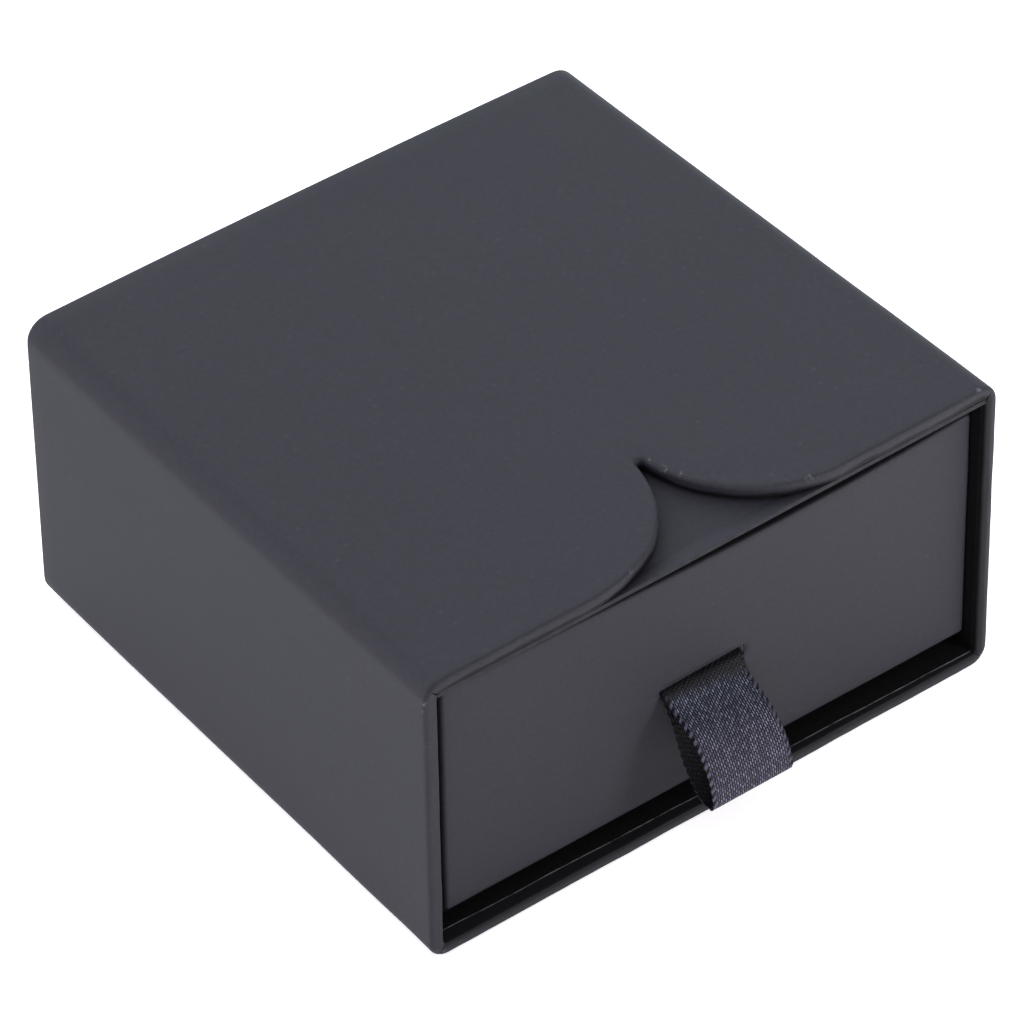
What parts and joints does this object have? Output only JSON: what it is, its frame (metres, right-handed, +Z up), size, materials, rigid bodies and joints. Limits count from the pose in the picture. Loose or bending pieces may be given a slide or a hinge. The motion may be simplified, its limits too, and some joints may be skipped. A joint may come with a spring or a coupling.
{
  "type": "sliding drawer gift box",
  "caption": "Low square box of paper-wrapped board: a drawer with a ribbon loop pull slides out of a sleeve whose top edge is cut in round lobes that meet in a cusp.",
  "frame": {"origin": "middle of the sleeve's flat underside, in plan the middle of the sleeve's width and depth", "axes": "+Z up, -Y towards the mouth that the drawer slides out of, +X to the right of someone who looks at the back from the front, so that the box's left side is at -X"},
  "size_m": [0.089, 0.0938, 0.0462],
  "materials": {
    "charcoal_paper": "matte",
    "charcoal_card": "matte",
    "black_lining": "matte",
    "greyboard": "matte",
    "satin_ribbon": "satin"
  },
  "bodies": {
    "sleeve": {"sleeve_top_board": "greyboard", "sleeve_bottom_board": "greyboard", "sleeve_left_board": "greyboard", "sleeve_right_board": "greyboard", "sleeve_back_board": "greyboard", "sleeve_wrap": "charcoal_paper", "sleeve_base_wrap": "charcoal_paper", "sleeve_back_cover": "charcoal_paper", "sleeve_top_ply": "charcoal_card", "sleeve_floor_flap": "greyboard", "sleeve_lining": "black_lining", "sleeve_back_lining": "black_lining"},
    "drawer": {"drawer_front_board": "greyboard", "drawer_back_board": "greyboard", "drawer_left_board": "greyboard", "drawer_right_board": "greyboard", "drawer_floor_board": "greyboard", "drawer_wrap": "charcoal_paper", "drawer_base_cover": "charcoal_paper", "drawer_wall_lining": "black_lining", "drawer_floor_lining": "black_lining", "ribbon_pull": "satin_ribbon"}
  },
  "joints": [
    {"name": "drawer_slide", "type": "slide", "parent": "sleeve", "child": "drawer", "axis": [0, -1, 0], "range_m": [0, 0.078]}
  ]
}
